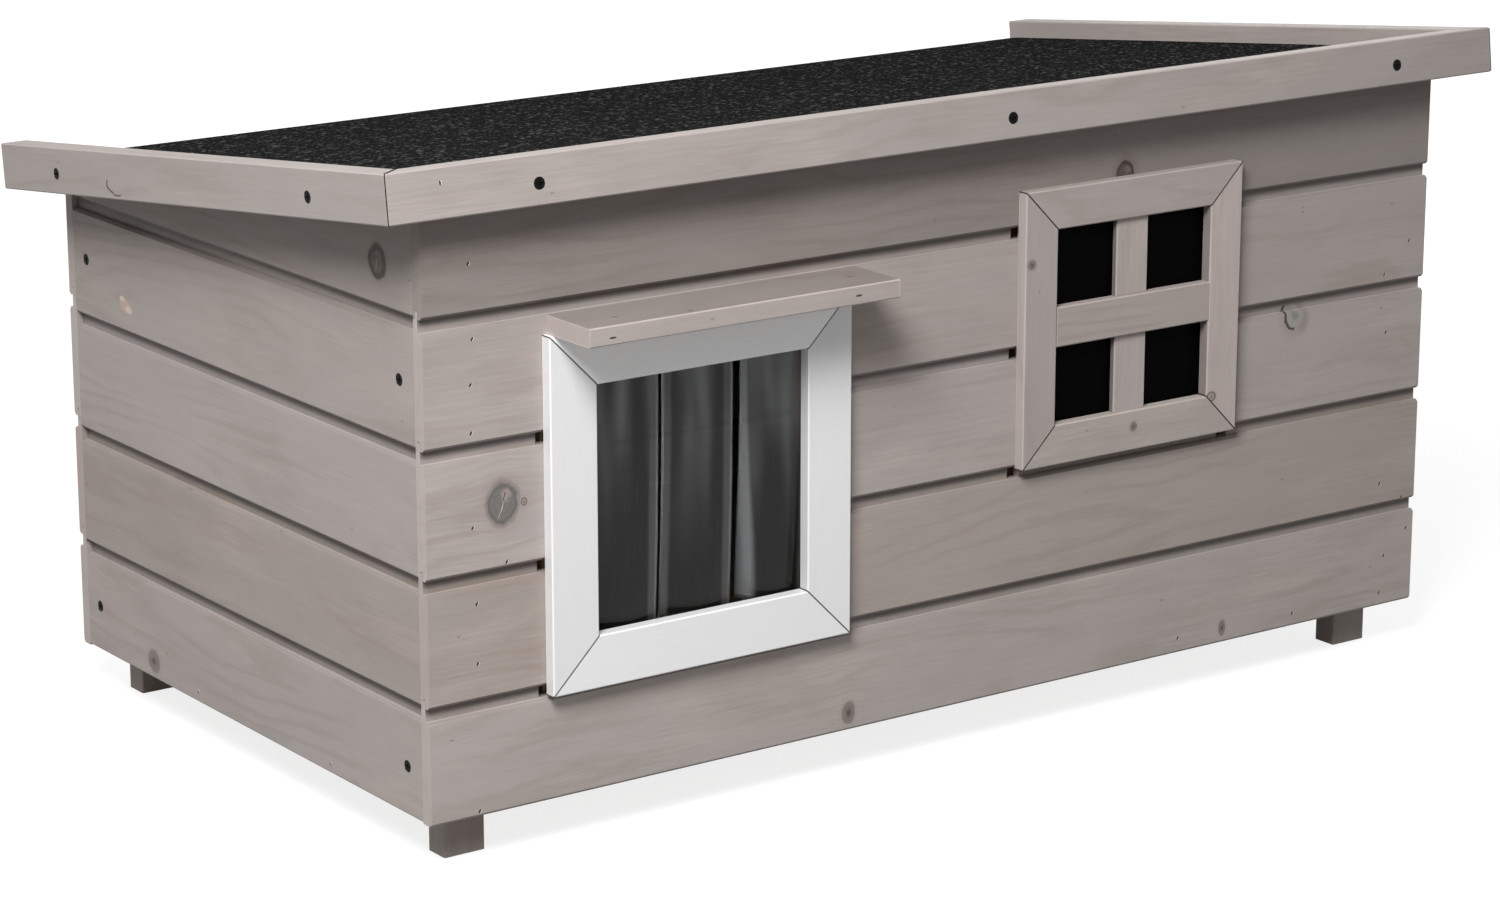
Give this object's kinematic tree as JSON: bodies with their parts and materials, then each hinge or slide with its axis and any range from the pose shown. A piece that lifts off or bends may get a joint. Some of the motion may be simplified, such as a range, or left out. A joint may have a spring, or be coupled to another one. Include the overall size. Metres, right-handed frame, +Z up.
{
  "type": "outdoor cat house",
  "caption": "Wooden outdoor cat house with a hinged felt-covered pent roof, a framed doorway with a clear strip curtain under a small awning, and a barred window.",
  "frame": {"origin": "on the ground, midway between the left and right ends and between the awning's front edge and the rear ends of the side fascias", "axes": "+X to the viewer's right along the front wall, +Y from the front wall to the rear wall, +Z up"},
  "size_m": [0.868, 0.5192, 0.4331],
  "materials": {
    "grey_wood": "satin grey glaze",
    "bare_wood": "planed, untreated",
    "white_wood": "satin white paint",
    "clear_pvc": "clear gloss",
    "clear_acrylic": "clear gloss",
    "roofing_felt": "matte mineral felt",
    "zinc_steel": "zinc plated",
    "black_steel": "matte black"
  },
  "bodies": {
    "house": {"front_board_1": "grey_wood", "front_board_2": "grey_wood", "front_board_3_left": "grey_wood", "front_board_3_right": "grey_wood", "front_board_4_left": "grey_wood", "front_board_4_right": "grey_wood", "front_board_5": "grey_wood", "rear_board_1": "grey_wood", "rear_board_2": "grey_wood", "rear_board_3": "grey_wood", "rear_board_4": "grey_wood", "left_board_1": "grey_wood", "left_board_2": "grey_wood", "left_board_3": "grey_wood", "left_board_4": "grey_wood", "left_board_5": "grey_wood", "right_board_1": "grey_wood", "right_board_2": "grey_wood", "right_board_3": "grey_wood", "right_board_4": "grey_wood", "right_board_5": "grey_wood", "front_battens": "bare_wood", "rear_battens": "bare_wood", "side_battens": "bare_wood", "corner_post_front_left": "grey_wood", "corner_post_front_right": "grey_wood", "corner_post_rear_left": "grey_wood", "corner_post_rear_right": "grey_wood", "floor_bearers_long": "bare_wood", "floor_bearers_short": "bare_wood", "floor_panel": "bare_wood", "door_frame_top": "white_wood", "door_frame_bottom": "white_wood", "door_frame_left": "white_wood", "door_frame_right": "white_wood", "curtain_rail": "bare_wood", "awning_board": "grey_wood", "window_frame_top": "grey_wood", "window_frame_bottom": "grey_wood", "window_frame_left": "grey_wood", "window_frame_right": "grey_wood", "window_bar_level": "grey_wood", "window_bar_upright": "grey_wood", "window_pane": "clear_acrylic", "hinge_wall_leaves": "zinc_steel", "hinge_pins": "zinc_steel", "wall_screws": "black_steel", "hinge_wall_screws": "zinc_steel"},
    "roof": {"fascia_front": "grey_wood", "fascia_left": "grey_wood", "fascia_right": "grey_wood", "roof_panel": "bare_wood", "roof_felt": "roofing_felt", "hinge_roof_leaves": "zinc_steel", "fascia_screws": "black_steel", "hinge_roof_screws": "zinc_steel"},
    "curtain_left": {"curtain_strip_left": "clear_pvc"},
    "curtain_middle": {"curtain_strip_middle": "clear_pvc"},
    "curtain_right": {"curtain_strip_right": "clear_pvc"}
  },
  "joints": [
    {"name": "roof_hinge", "type": "hinge", "parent": "house", "child": "roof", "pos_m": [0, 0.24097, 0.34811], "axis": [-1, 0, 0], "range_deg": [0, 105]},
    {"name": "curtain_middle_swing", "type": "hinge", "parent": "house", "child": "curtain_middle", "pos_m": [0, -0.21068, 0.2907], "axis": [1, 0, 0], "range_deg": [0, 75]},
    {"name": "curtain_left_swing", "type": "hinge", "parent": "house", "child": "curtain_left", "pos_m": [0, -0.21068, 0.2907], "axis": [1, 0, 0], "range_deg": [0, 75]},
    {"name": "curtain_right_swing", "type": "hinge", "parent": "house", "child": "curtain_right", "pos_m": [0, -0.21068, 0.2907], "axis": [1, 0, 0], "range_deg": [0, 75]}
  ]
}
